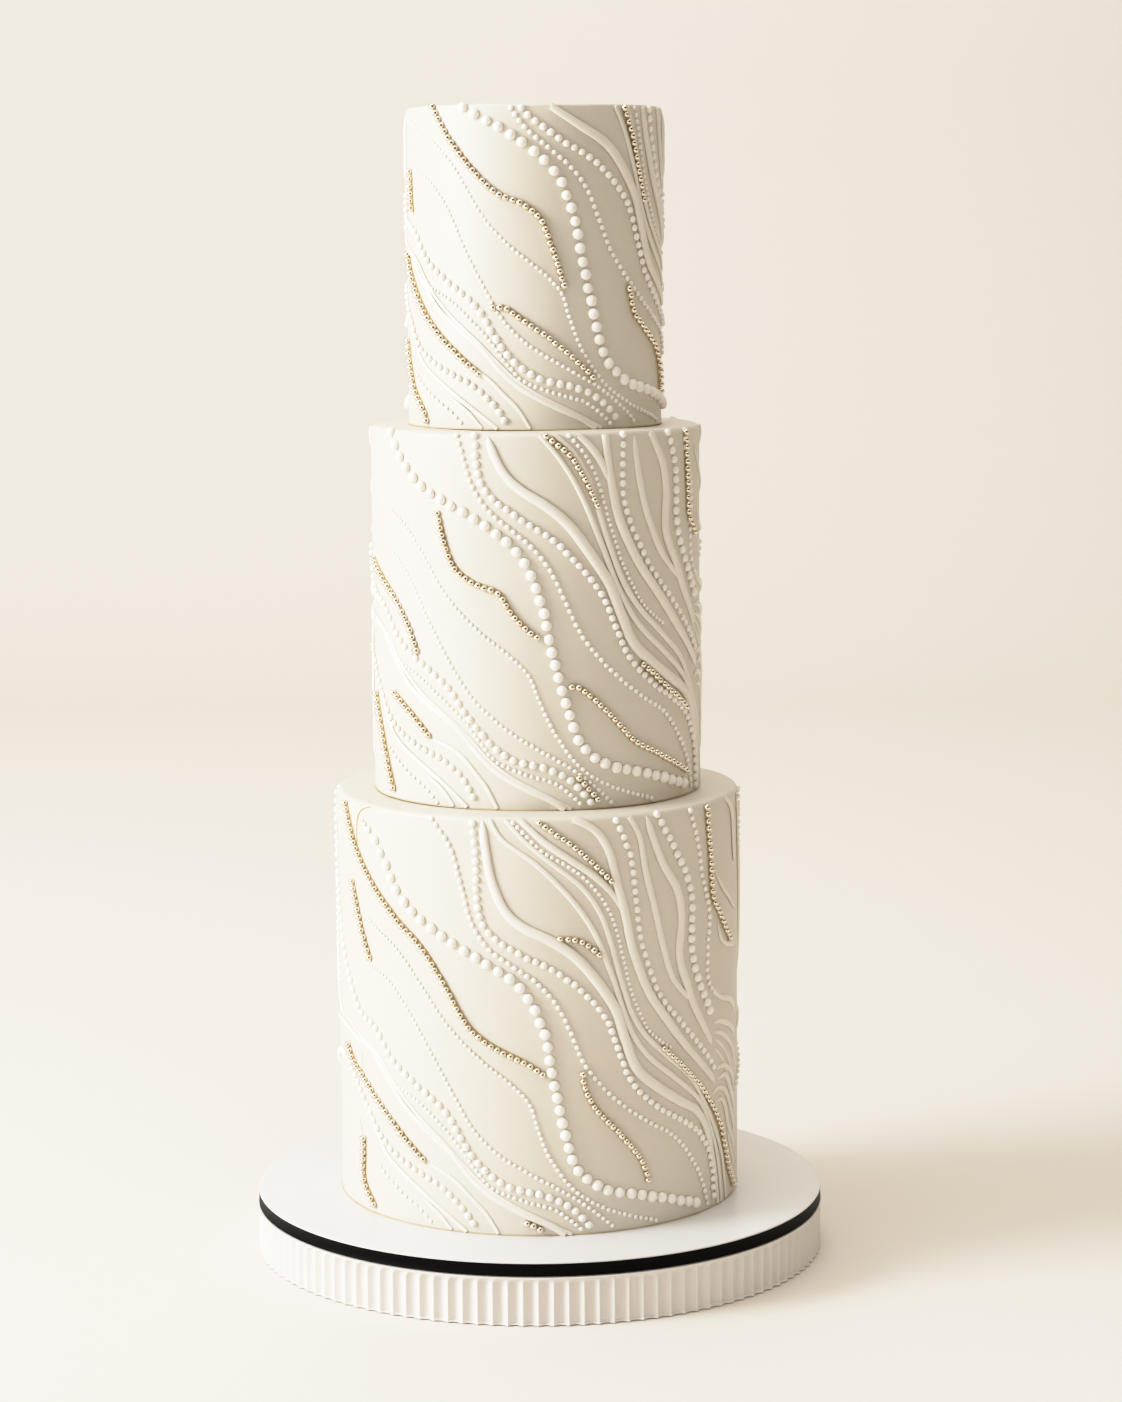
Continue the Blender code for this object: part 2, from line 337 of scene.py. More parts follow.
# Ribbon: black satin ribbon glued round the board's edge, with a firmer woven selvedge along each
# side and its end lapped over at the back.
def ribbon():
    low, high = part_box("ribbon_band")
    foot, top = low[2], high[2]
    inner, outer, selvedge = 0.1802, 0.18062, 0.0005
    raised, turned_in, rounded = outer + 0.00008, outer - 0.0001, 0.00012
    outline = [
        (inner, foot), (turned_in, foot), (raised, foot + rounded),
        (raised, foot + selvedge * 0.8), (outer, foot + selvedge), (outer, (foot + top) / 2),
        (outer, top - selvedge), (raised, top - selvedge * 0.8), (raised, top - rounded),
        (turned_in, top), (inner, top),
    ]
    satin = bpy.data.materials.new("black_satin")
    satin.use_nodes = True
    nodes, links = satin.node_tree.nodes, satin.node_tree.links
    shader = nodes["Principled BSDF"]
    shader.inputs["Roughness"].default_value = 0.48
    shader.inputs["Specular IOR Level"].default_value = 0.03
    place = nodes.new("ShaderNodeTexCoord")
    threads = nodes.new("ShaderNodeTexNoise")
    threads.inputs["Scale"].default_value = 2600.0
    threads.inputs["Detail"].default_value = 2.0
    tone = nodes.new("ShaderNodeMix")
    tone.data_type = "RGBA"
    tone.inputs["A"].default_value = (0.0008, 0.0007, 0.0006, 1)
    tone.inputs["B"].default_value = (0.0032, 0.0030, 0.0027, 1)
    bump = nodes.new("ShaderNodeBump")
    bump.inputs["Distance"].default_value = 0.00005
    bump.inputs["Strength"].default_value = 0.8
    links.new(place.outputs["Object"], threads.inputs["Vector"])
    links.new(threads.outputs["Fac"], tone.inputs["Factor"])
    links.new(tone.outputs["Result"], shader.inputs["Base Color"])
    links.new(threads.outputs["Fac"], bump.inputs["Height"])
    links.new(bump.outputs["Normal"], shader.inputs["Normal"])

    bm = turned(outline, STAND_STEPS)
    lap_turn, lap_proud = math.radians(8.0), 0.00022
    for vert in bm.verts:
        behind = math.atan2(vert.co.x, vert.co.y)
        if 0.0 <= behind <= lap_turn and math.hypot(vert.co.x, vert.co.y) > (inner + outer) / 2:
            grown = 1 + lap_proud / outer
            vert.co.x *= grown
            vert.co.y *= grown
    piece = finished_piece(bm, "satin_ribbon", [satin], crease_degrees=40.0)
    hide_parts("ribbon_band")
    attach(piece, "root")


ribbon()


# Tiers: three tall round cakes, each under one sheet of ivory sugar paste smoothed by hand, so the
# walls wander a little and the top edge is softly rounded. Shift, start and strays, in millimetres,
# say where on a tier's wall the shared piping plan lies, where it starts and where it departs.
TIERS = (
    dict(
        name="bottom", node="bottom_tier", radius=0.1270, edge=0.0032, shift=0, start=-229,
        rope_growth=1.05, strays=(),
    ),
    dict(
        name="middle", node="middle_tier", radius=0.1027, edge=0.0032, shift=0, start=-155,
        rope_growth=1.08,
        strays=((-80, 202, 2, 1, 22), (-32, 182, 1, 4.5, 28), (52, 192, -5, 0, 30),
                (92, 190, -5, 0, 30), (36, 138, -2.5, 0, 18), (12, 42, 3.5, 0, 26),
                (-42, 45, 3, 2, 20), (-66, 16, 3, 0, 18), (-96, 150, 3, 0, 20)),
    ),
    dict(
        name="top", node="top_tier", radius=0.0789, edge=0.0015, shift=22, start=-124,
        rope_growth=0.95,
        strays=((-66, 190, 1, 3, 20), (-34, 178, 2, 3, 22), (-86, 150, 6, 0, 28),
                (8, 118, -1.5, 0, 20), (10, 184, -2, -2, 12), (-14, 196, -3, 0, 10)),
    ),
)
for tier in TIERS:
    low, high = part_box(tier["node"])
    tier["foot"], tier["top"] = low[2], high[2]


def painted_crease_shade(material, shader, crease_shade_colour, reach):
    """Painted shade: where ambient occlusion finds a crease between pieces, within the reach, the base
    colour turns toward the crease shade colour.
    """
    deep_in, out_in_the_open = 0.15, 0.72
    nodes, links = material.node_tree.nodes, material.node_tree.links
    plain = shader.inputs["Base Color"].links[0].from_socket
    crease = nodes.new("ShaderNodeAmbientOcclusion")
    crease.samples = 6
    crease.inputs["Distance"].default_value = reach
    open_share = nodes.new("ShaderNodeMapRange")
    open_share.inputs["From Min"].default_value = deep_in
    open_share.inputs["From Max"].default_value = out_in_the_open
    mix = nodes.new("ShaderNodeMix")
    mix.data_type = "RGBA"
    mix.inputs["A"].default_value = (*crease_shade_colour, 1)
    links.new(crease.outputs["AO"], open_share.inputs["Value"])
    links.new(open_share.outputs["Result"], mix.inputs["Factor"])
    links.new(plain, mix.inputs["B"])
    links.new(mix.outputs["Result"], shader.inputs["Base Color"])


def fondant_material():
    material, shader = surfaced(
        "ivory_fondant", (0.667, 0.627, 0.545), (0.647, 0.602, 0.515), roughness=0.44,
        drift_scale=7.0, grain_scale=260.0, grain_depth=0.00005,
    )
    shader.inputs["Subsurface Weight"].default_value = 0.05
    shader.inputs["Subsurface Radius"].default_value = (1.0, 0.75, 0.5)
    shader.inputs["Subsurface Scale"].default_value = 0.002
    # Painted shade in the fondant's creases, beside the ropes, pearls and dragees and at the tier's foot.
    painted_crease_shade(material, shader, crease_shade_colour=(0.37, 0.28, 0.16), reach=0.0014)
    return material


fondant = fondant_material()
TIER_STEPS = 200


def fondant_tier(tier):
    radius, foot, top, edge = tier["radius"], tier["foot"], tier["top"], tier["edge"]
    foot_edge, wall_rows = 0.0006, 26
    outline = [(0.0, foot), (radius - foot_edge, foot)]
    outline += [
        (radius - foot_edge + foot_edge * math.sin(angle), foot + foot_edge * (1 - math.cos(angle)))
        for angle in (math.radians(30), math.radians(60), math.radians(90))
    ]
    outline += [
        (radius, foot + foot_edge + (top - edge - foot - foot_edge) * row / wall_rows)
        for row in range(1, wall_rows + 1)
    ]
    outline += [
        (radius - edge * (1 - math.cos(turn)), top - edge * (1 - math.sin(turn)))
        for turn in np.radians((15, 30, 45, 60, 75, 90))
    ]
    outline += [(radius * share, top) for share in (0.9, 0.7, 0.4)]
    outline.append((0.0, top))
    bm = turned(outline, TIER_STEPS)
    wander, wall_from = 0.00022, 0.8 * radius
    for vert in bm.verts:
        x, y, z = vert.co
        angle = math.atan2(x, -y)
        if math.hypot(x, y) > wall_from and z > foot + foot_edge:
            swell = wander * (
                math.sin(3 * angle + 1.3 + 21 * z) + 0.5 * math.sin(7 * angle - 43 * z + 0.4)
            )
            vert.co.x += swell * math.sin(angle)
            vert.co.y -= swell * math.cos(angle)
        if z > top - edge:
            vert.co.z -= wander * (1 + math.sin(4 * angle + radius * 90))
    piece = finished_piece(bm, f"{tier['name']}_fondant", [fondant], crease_degrees=50.0)
    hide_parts(tier["node"])
    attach(piece, "root")


for tier in TIERS:
    fondant_tier(tier)


# Ropes: long soft ridges of the same ivory paste, rolled thinner towards the ends, pressed on the wall
# and running together like veins. One plan, in millimetres along and up the bottom wall, serves all
# tiers: each rope lists its width at its start, middle and end, and its course.
ROPES = (
    (4.6, 6.3, 3.0, ((-33, 258), (-31, 240), (-27, 219), (-19, 201), (-8, 191), (8, 183),
                     (22, 173.5), (35, 159), (48, 139), (54, 121), (62, 101), (76, 88), (95, 75.5),
                     (111, 66), (122, 51), (131, 26), (137, 0))),
    (2.8, 3.6, 2.4, ((-29, 258), (-20, 244), (0, 229.5), (20, 209), (35, 187), (46, 160), (57, 128),
                     (70, 108), (92, 90), (111, 75), (121, 62), (129, 47), (134, 36), (138, 22),
                     (142, 0))),
    (2.8, 3.5, 2.4, ((-19, 257), (-5, 242), (12, 228), (27, 215.5), (38, 200), (45, 182),
                     (51, 160), (59, 136), (70, 119), (88, 103), (106, 88), (117, 73), (126, 60),
                     (133, 48.6), (139, 38), (144, 26), (150, 0))),
    (3.4, 4.4, 2.6, ((-11, 258), (4, 244), (20, 232.5), (36, 221), (48, 208), (54, 196))),
    (4.4, 5.6, 4.2, ((20, 258), (35, 250), (44, 237), (49, 218), (55, 196), (60, 174), (70, 149),
                     (84, 129), (101, 109), (119, 92), (133, 79))),
    (3.4, 4.4, 3.2, ((57, 258), (65, 243), (69, 222), (76, 197), (82, 174), (90, 153), (106, 136))),
    (4.4, 5.6, 4.2, ((69, 258), (74, 243), (82, 225), (93, 208), (97, 190), (95, 166), (102, 147),
                     (111, 129), (129, 104))),
    (2.4, 3.6, 4.2, ((-234, 101), (-200, 110), (-165, 113), (-137, 108), (-119, 104), (-111, 96.5),
                     (-100, 85.5), (-88, 73), (-73, 62), (-55, 49), (-42, 35), (-28, 23.5),
                     (-8, 13), (8, 6), (17, 0))),
    (2.2, 3.6, 3.0, ((-222, 256), (-214, 225), (-205, 190), (-196, 155), (-184, 131), (-165, 115))),
    (1.6, 2.4, 2.8, ((-150, 114), (-128, 108.5), (-112, 101), (-96, 85), (-79, 70), (-60, 55),
                     (-46, 42), (-33, 30), (-16, 19), (0, 11), (14, 3.5), (21, 0))),
    (2.0, 2.8, 2.2, ((-71, 40), (-60, 36), (-50, 30), (-40, 20.5), (-32, 12.5), (-24, 0))),
    (2.2, 2.8, 2.6, ((-127, 70), (-120, 60), (-108, 43), (-97, 34.5), (-81, 25), (-66, 15.5),
                     (-52, 6), (-44, 0))),
    (2.0, 2.6, 2.2, ((-76, 18), (-64, 10), (-54, 0))),
    (2.6, 3.4, 2.6, ((147, 257), (153, 254), (160, 247), (163, 238), (165, 225), (168, 213))),
    (1.8, 2.6, 1.8, ((131, 216), (137, 208), (145, 200), (155, 193), (172, 181))),
    (2.4, 3.0, 2.4, ((137, 180), (140, 171), (146, 166), (155, 163), (172, 160))),
    (2.6, 3.8, 2.6, ((134, 134.5), (143, 131.5), (156, 127.7), (166, 121), (172, 112))),
    (2.8, 3.8, 2.6, ((131, 116.5), (137, 117.5), (146, 115), (156, 111), (166, 104.5), (173, 96))),
    (2.4, 3.4, 2.2, ((130, 111.5), (138.4, 110), (147.7, 105.7), (157.7, 98.8), (165, 91),
                     (173, 80))),
    (1.4, 2.2, 1.4, ((131, 107.5), (138, 104), (146.5, 97.7), (153, 91), (159, 83), (165, 75))),
    (1.4, 2.0, 1.4, ((131, 102), (138, 97), (145, 90), (150, 83), (157, 73))),
    (2.6, 3.4, 2.2, ((134, 87), (143, 88), (153, 84), (161, 78.5), (166, 71), (172, 62))),
    (3.0, 3.8, 2.8, ((137, 80), (145.4, 81.6), (151.8, 77.2), (156.3, 70.6), (161.4, 63.8),
                     (167, 57), (173, 49))),
    (2.6, 3.4, 2.4, ((128, 71), (134.4, 74.8), (142.9, 73.3), (150.5, 68.2), (155, 62), (160, 54),
                     (166, 44), (172, 35))),
    (2.4, 3.2, 2.4, ((133, 66), (140.7, 66.9), (146.7, 62), (149.5, 56), (152, 49), (158, 40),
                     (165, 33), (172, 27))),
    (1.8, 2.6, 1.8, ((153, 44), (158, 32), (165, 21), (172, 13))),
)


def smooth_path(knots, step=1.0):
    """Points about a step apart on the smooth curve through the knots."""
    given = np.array(knots, float)
    given = np.vstack([2 * given[0] - given[1], given, 2 * given[-1] - given[-2]])
    pieces = []
    for a, b, c, d in zip(given, given[1:], given[2:], given[3:]):
        count = max(2, int(np.hypot(*(c - b)) / step))
        t = np.linspace(0.0, 1.0, count, endpoint=False)[:, None]
        pieces.append(
            0.5 * (2 * b + (c - a) * t + (2 * a - 5 * b + 4 * c - d) * t**2
                   + (3 * b - a - 3 * c + d) * t**3)
        )
    pieces.append(given[-2][None])
    return np.vstack(pieces)


def kept_on_wall(path, tier, foot_room, edge_room):
    """The part of a path that this tier's wall has room for, in metres."""
    height = (tier["top"] - tier["foot"]) * 1000
    half_turn = math.pi * tier["radius"] * 1000
    inside = (
        (path[:, 1] > foot_room) & (path[:, 1] < height - edge_room)
        & (path[:, 0] > tier["start"]) & (path[:, 0] < tier["start"] + half_turn)
    )
    return path[inside] / 1000


def strayed(path, tier):
    """The shared plan's path as this tier carries it, a little out of line here and there: near a
    stray's point, which it gives along and up the wall, the path moves along and up, within its reach."""
    laid = path.copy()
    for along, up, stray_along, stray_up, reach in tier["strays"]:
        away = (path[:, 0] - along) ** 2 + (path[:, 1] - up) ** 2
        laid += np.exp(-away / (2 * reach**2))[:, None] * np.array([stray_along, stray_up])
    laid[:, 0] += tier["shift"]
    return laid


def travelled(path):
    return np.concatenate([[0.0], np.cumsum(np.hypot(*np.diff(path, axis=0).T))])


def wall_places(tier, along, up, out, turn):
    """Points at lengths along the wall and up it, bent over its rounded top edge, and their axes."""
    furthest_lean = 1.5
    angle = along / tier["radius"] + turn
    over = np.maximum(up - (tier["top"] - tier["foot"] - tier["edge"]), 0.0)
    lean = np.minimum(over / tier["edge"], furthest_lean)
    around = np.stack([np.sin(angle), -np.cos(angle), np.zeros_like(angle)], axis=-1)
    upward = np.zeros_like(around) + (0.0, 0.0, 1.0)
    across = np.stack([np.cos(angle), np.sin(angle), np.zeros_like(angle)], axis=-1)
    lean_cos, lean_sin = np.cos(lean)[..., None], np.sin(lean)[..., None]
    outward = around * lean_cos + upward * lean_sin
    rising = upward * lean_cos - around * lean_sin
    level = tier["foot"] + np.minimum(up, tier["top"] - tier["foot"] - tier["edge"])
    core = around * (tier["radius"] - tier["edge"]) + upward * level[..., None]
    return core + outward * (tier["edge"] + out)[..., None], across, rising, outward


ROPE_LIFT, ROPE_RISE = 0.13, 0.31
ROPE_SECTION = np.array([
    (-0.5 * math.cos(turn), ROPE_LIFT + ROPE_RISE * math.sin(turn))
    for turn in np.radians(np.append(np.linspace(-60, 240, 14), -60))
])


def laid_run(tier, path, widths, turn, section, step, tip_length, sideways=0.0):
    """Closed ridge of the given section along a path, from its start to its middle and end width,
    with a tip where it ends on open wall."""
    fewest_rows, full_from, full_to = 6, 0.3, 0.7
    far = travelled(path)
    length = far[-1]
    rows = max(fewest_rows, int(length / step))
    bm = bmesh.new()
    bmesh.ops.create_grid(bm, x_segments=len(section) - 1, y_segments=rows, size=1.0)
    shares = np.linspace(0.0, 1.0, rows + 1)
    places = np.column_stack([np.interp(shares * length, far, path[:, axis]) for axis in (0, 1)])
    headings = np.gradient(places, axis=0)
    headings /= np.maximum(np.hypot(headings[:, 0], headings[:, 1]), 1e-9)[:, None]
    wall_height = tier["top"] - tier["foot"]
    at_an_edge, blunt = 0.002, 0.12
    tips = np.ones(rows + 1)
    for (_, ends_at), from_end in ((path[0], shares * length), (path[-1], (1 - shares) * length)):
        if at_an_edge < ends_at < wall_height - at_an_edge:
            tips *= 1 - (1 - np.minimum(from_end / tip_length, 1.0)) ** 2
    start, middle, end = widths
    grown = np.interp(shares, (0.0, full_from, full_to, 1.0), (start, middle, middle, end))
    grown *= blunt + (1 - blunt) * tips
    side = section[None, :, 0] * grown[:, None] + sideways
    rise = section[None, :, 1] * grown[:, None]
    along = places[:, None, 0] - headings[:, None, 1] * side
    up = places[:, None, 1] + headings[:, None, 0] * side
    skin = wall_places(tier, along, up, rise, turn)[0]
    for vert in bm.verts:
        column = round((vert.co.x + 1) / 2 * (len(section) - 1))
        row = round((vert.co.y + 1) / 2 * rows)
        vert.co = skin[row, column]
    bmesh.ops.remove_doubles(bm, verts=bm.verts, dist=1e-7)
    bmesh.ops.holes_fill(bm, edges=bm.edges, sides=0)
    bmesh.ops.recalc_face_normals(bm, faces=bm.faces)
    mesh = bpy.data.meshes.new("run")
    bm.to_mesh(mesh)
    bm.free()
    return mesh


def gathered(meshes):
    """One bmesh that holds all the given meshes, which are then dropped."""
    bm = bmesh.new()
    for mesh in meshes:
        bm.from_mesh(mesh)
        bpy.data.meshes.remove(mesh)
    return bm


def icing_material(name, colour, drift_colour):
    material, shader = surfaced(
        name, colour, drift_colour, roughness=0.38,
        drift_scale=60.0, grain_scale=900.0, grain_depth=0.00003,
    )
    # Painted shade in the creases at the foot of each rope and pearl.
    painted_crease_shade(material, shader, crease_shade_colour=(0.50, 0.41, 0.28), reach=0.0012)
    shader.inputs["Coat Weight"].default_value = 0.2
    shader.inputs["Coat Roughness"].default_value = 0.3
    return material


white_icing = icing_material("white_icing", (0.925, 0.90, 0.845), (0.905, 0.875, 0.81))
rope_icing = icing_material("rope_icing", (0.82, 0.785, 0.705), (0.79, 0.75, 0.665))
HALVES = (0.0, math.pi)
FEWEST_ROPE_POINTS = 12


def ropes(tier):
    runs = []
    for *widths, knots in ROPES:
        course = strayed(smooth_path(knots), tier)
        path = kept_on_wall(course, tier, foot_room=0.3, edge_room=1.3)
        if len(path) < FEWEST_ROPE_POINTS:
            continue
        grown = np.array(widths) * tier["rope_growth"] / 1000
        for turn in HALVES:
            runs.append(laid_run(
                tier, path, grown, turn, ROPE_SECTION, step=0.0022, tip_length=0.009
            ))
    bm = gathered(runs)
    piece = finished_piece(bm, f"{tier['name']}_ropes", [rope_icing], crease_degrees=60.0)
    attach(piece, "root")


for tier in TIERS:
    ropes(tier)


# Foot lines: where each tier meets what it stands on, a hair-thin golden-brown ring lies round it in the
# crease: painted shade, standing in for the contact shadow there.
# Painted shade: a golden-brown colour for the contact shadow at the tiers' feet.
painted_foot_shade, _ = surfaced(
    "painted_foot_shade", (0.44, 0.33, 0.19), (0.54, 0.42, 0.26), roughness=0.4,
    drift_scale=40.0, grain_scale=600.0, grain_depth=0.00003,
)


def foot_line(tier):
    radius, foot, thickness = tier["radius"], tier["foot"] + 0.0001, 0.0004
    proud, bulge = 0.15, 0.8
    ring = [
        (radius + thickness * (proud + bulge * math.cos(turn)), foot + thickness * math.sin(turn))
        for turn in np.radians(range(0, 360, 45))
    ]
    piece = finished_piece(
        turned(ring, TIER_STEPS), f"{tier['name']}_foot_line", [painted_foot_shade], crease_degrees=80.0
    )
    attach(piece, "root")


for tier in TIERS:
    foot_line(tier)


# Pearls: strands of piped dots of white icing, each dot a soft low dome, from pinhead size to about
# 7 mm. A strand lists its first and last dot's width, the first and last gap, and its course.
PEARLS = (
    (5.9, 6.9, 3.0, 0.8, ((-113, 237), (-104, 224), (-93, 207.5), (-81, 196), (-60, 183.5),
                          (-26, 165.5), (-8, 151.5), (4.5, 125), (10, 94), (18, 57), (24, 41),
                          (40, 28), (76, 18), (112, 7))),
    (2.4, 5.0, 1.4, 1.2, ((-128, 247), (-124, 244), (-117, 240))),
    (4.6, 4.2, 1.2, 1.2, ((-39, 254), (-37, 232), (-36, 204), (-29, 187), (-9, 174), (12, 163.5),
                          (30, 148.5), (43, 132), (52, 108), (61, 90), (79, 73.5), (102, 60),
                          (118, 47), (128, 28), (131, 3))),
    (3.4, 3.2, 1.3, 1.3, ((-66, 255), (-54, 239), (-47, 217), (-41, 195), (-31, 179), (-16, 168),
                          (0, 157), (12, 143), (21, 124), (30, 104), (47, 84), (69, 67), (88, 56),
                          (103, 41), (116, 22), (123, 4))),
    (1.6, 3.0, 1.3, 0.9, ((-122, 158), (-103, 151), (-85, 134), (-67, 108), (-54, 87), (-40, 65),
                          (-24, 50), (-4, 38), (19, 25), (36, 12.5), (49, 1))),
    (1.6, 3.0, 1.3, 0.9, ((-122, 186), (-97, 173), (-80, 157), (-58, 130), (-38, 111), (-16, 94),
                          (-5, 82), (0, 67), (7, 49), (22, 28), (44, 14), (79, 2))),
    (4.0, 5.0, 1.6, 1.2, ((-196, 254), (-188, 225), (-176, 195), (-162, 165), (-147, 142),
                          (-133, 126), (-116, 119), (-99, 101.5), (-79, 88.5), (-58, 74),
                          (-45, 54), (-34, 41), (-18, 30.5), (4, 25), (20, 17), (34, 3))),
    (3.6, 4.4, 1.8, 1.3, ((-229, 66), (-205, 78), (-175, 92), (-150, 88), (-131, 73), (-116, 57),
                          (-103, 45.5), (-81, 35), (-64, 28), (-49, 17), (-38, 3))),
    (1.8, 3.0, 1.2, 0.9, ((-102, 88), (-79, 78.5), (-62, 66), (-49, 53), (-38, 39), (-28, 29),
                          (-10, 22), (9, 16.5), (20, 9), (29, 1))),
    (2.2, 2.4, 2.3, 2.3, ((-112, 31), (-93, 19), (-79, 11.5), (-66, 1))),
    (3.1, 2.6, 1.1, 0.7, ((-14, 255), (4, 237.5), (24, 225), (39, 209), (48, 191), (54, 168),
                          (60, 146), (70, 125), (80, 115.5), (90, 109))),
    (4.4, 4.2, 1.5, 1.5, ((49, 255), (58, 234), (62, 208), (64.5, 184), (71, 163), (81, 142),
                          (100, 121), (121, 100), (132, 88))),
    (4.6, 5.9, 1.3, 0.8, ((77, 257), (87, 240), (99, 220), (106, 200), (106, 170), (113, 148),
                          (128, 123))),
    (3.8, 3.6, 1.1, 1.1, ((105, 255), (113, 232), (117, 212), (125, 190), (123, 165), (123, 148),
                          (129, 139), (134, 136))),
    (2.8, 2.4, -0.6, -0.5, ((134, 135.5), (139, 133), (145, 131.5))),
    (3.0, 3.6, 1.2, 1.2, ((-210, 255), (-201, 222), (-192, 188), (-181, 152), (-172, 136))),
)
rng = np.random.default_rng(11)


def strung(path, first, last, first_gap, last_gap):
    """Places and widths of the dots of a strand, each set a gap after the one before."""
    far = travelled(path)
    at, places, widths = 0.0, [], []
    while at <= far[-1]:
        share = math.sqrt(at / far[-1])
        width = first + (last - first) * share
        places.append([np.interp(at, far, path[:, axis]) for axis in (0, 1)])
        widths.append(width)
        at += width + first_gap + (last_gap - first_gap) * share
    return np.array(places), np.array(widths)


def dot_template(segments, rings, flatness):
    """Points and faces of a unit dome with its pole outwards."""
    bm = bmesh.new()
    bmesh.ops.create_uvsphere(bm, u_segments=segments, v_segments=rings, radius=0.5)
    bmesh.ops.scale(bm, verts=bm.verts, vec=(1, 1, flatness))
    bm.verts.index_update()
    points = np.array([vert.co for vert in bm.verts])
    faces = [[vert.index for vert in face.verts] for face in bm.faces]
    bm.free()
    return points, faces


def joined_dots(name, tier, places, widths, sunk, template, material):
    """All the dots of one kind on a tier as one mesh, each turned to face out of the wall."""
    points, faces = template
    count = len(places) * len(HALVES)
    turn = np.repeat(HALVES, len(places))
    uneven, astray = 0.05, 0.03
    width = np.tile(widths, len(HALVES)) * rng.uniform(1 - uneven, 1 + uneven, count)
    spot = np.tile(places, (len(HALVES), 1)) + rng.normal(0.0, astray, (count, 2)) * width[:, None]
    centre, *axes = wall_places(tier, spot[:, 0], spot[:, 1], width * sunk, turn)
    axes = np.stack(axes, axis=1)
    placed = np.einsum("pk,nkc->npc", points, axes) * width[:, None, None] + centre[:, None, :]
    mesh = bpy.data.meshes.new(name)
    shifts = np.arange(count) * len(points)
    listed = [[index + shift for index in face] for shift in shifts.tolist() for face in faces]
    mesh.from_pydata(placed.reshape(-1, 3).tolist(), [], listed)
    mesh.shade_smooth()
    mesh.materials.append(material)
    piece = bpy.data.objects.new(name, mesh)
    bpy.context.scene.collection.objects.link(piece)
    return piece


BROAD_DOT = 0.0042
DOT_SUNK, DOT_FLATNESS = 0.13, 0.86
FEWEST_STRAND_POINTS = 6


def pearls(tier):
    places, widths = [], []
    for *spacing, knots in PEARLS:
        course = strayed(smooth_path(knots), tier)
        path = kept_on_wall(course, tier, foot_room=0.4 + spacing[1] / 2, edge_room=1.8)
        if len(path) < FEWEST_STRAND_POINTS:
            continue
        strand_places, strand_widths = strung(path, *(size / 1000 for size in spacing))
        places.append(strand_places)
        widths.append(strand_widths)
    places, widths = np.vstack(places), np.concatenate(widths)
    broad = widths >= BROAD_DOT
    for kind, chosen, template in (
        ("broad_pearls", broad, dot_template(segments=16, rings=10, flatness=DOT_FLATNESS)),
        ("fine_pearls", ~broad, dot_template(segments=10, rings=6, flatness=DOT_FLATNESS)),
    ):
        piece = joined_dots(
            f"{tier['name']}_{kind}", tier, places[chosen], widths[chosen], DOT_SUNK,
            template, white_icing,
        )
        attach(piece, "root")


for tier in TIERS:
    pearls(tier)


# Gold dragees: hard sugar balls with a champagne gold skin, set touching in short curved runs on a
# line brushed with gold lustre, whose dark bronze colour is partly lustre and partly painted shade
# between and beside the balls, and a few hair-thin lines of lustre beside them. Each tier has its
# own runs, and the bottom tier a few hairs, in millimetres along and up its wall.
GOLD_RUNS = {
    "bottom": (
        ((-153, 254), (-140, 233), (-121, 213), (-97, 192), (-74, 174), (-57, 151), (-44, 130),
         (-30, 118.5), (-9, 108), (3, 100.5)),
        ((-142, 206), (-136, 193), (-128, 175), (-120, 161)),
        ((-153, 100), (-141, 90), (-129, 84.5), (-108, 69), (-87, 52), (-73, 41)),
        ((-130, 45), (-131, 31), (-130, 17), (-117, 3.5)),
        ((121, 255), (125, 226), (128, 199), (136, 188), (145, 177), (155, 167)),
        ((1.5, 255), (18, 243.5), (32, 231.5), (46, 217.5)),
        ((14, 184), (27, 181.5), (40, 171)),
        ((27, 100), (29, 90), (36, 77), (52, 59.5), (65, 43), (71, 28)),
        ((82, 110), (99, 95.5), (120, 75), (138, 52), (145, 36), (154, 18), (166, 3)),
        ((-7, 8), (5, 2)),
    ),
    "middle": (
        ((-62, 179), (-58, 163), (-51, 147), (-38, 137.5), (-23, 132), (-14, 119), (-3, 108),
         (2, 105)),
        ((-138, 146), (-118, 135.5), (-98.5, 122.5), (-87, 108), (-79, 92)),
        ((-104, 66), (-86, 55), (-70, 42)),
        ((-134, 62), (-124, 43), (-115, 24), (-106, 5)),
        ((7, 226), (21.5, 214), (31.5, 198), (39.5, 180.5)),
        ((113, 225), (116, 185), (117.5, 174), (129, 162)),
        ((21.5, 75), (28.5, 73), (45, 58), (63, 40), (82.5, 30), (104, 20), (115, 15)),
        ((70, 86), (91.5, 70), (115, 54.5)),
        ((26, 19), (41, 2)),
    ),
    "top": (
        ((-68, 193), (-49.5, 168), (-25, 143.5), (-8, 135.5), (4, 126), (10.5, 110), (19, 84)),
        ((-99, 155), (-97, 137), (-95, 129)),
        ((-106, 105), (-96.5, 90), (-74, 65), (-47, 43), (-34, 33)),
        ((-109, 52), (-96.5, 26), (-81, 10), (-77, 2)),
        ((60, 192), (67, 175), (72.5, 156), (79, 135)),
        ((64, 84), (68, 70), (80, 59), (96, 46), (105, 30), (106, 20)),
        ((-25, 73.5), (-16.5, 72.5), (-3, 63), (12, 52.5), (29, 38), (37, 30.5)),
    ),
}
BALL_WIDTH, BALL_GAP = 4.3, 0.15
BALL_SUNK = 0.33


def gold_material():
    material, shader = surfaced(
        "champagne_gold", (0.76, 0.67, 0.535), (0.855, 0.775, 0.66), roughness=0.08,
        drift_scale=700.0, grain_scale=1500.0, grain_depth=0.000002,
    )
    shader.inputs["Metallic"].default_value = 1.0
    return material


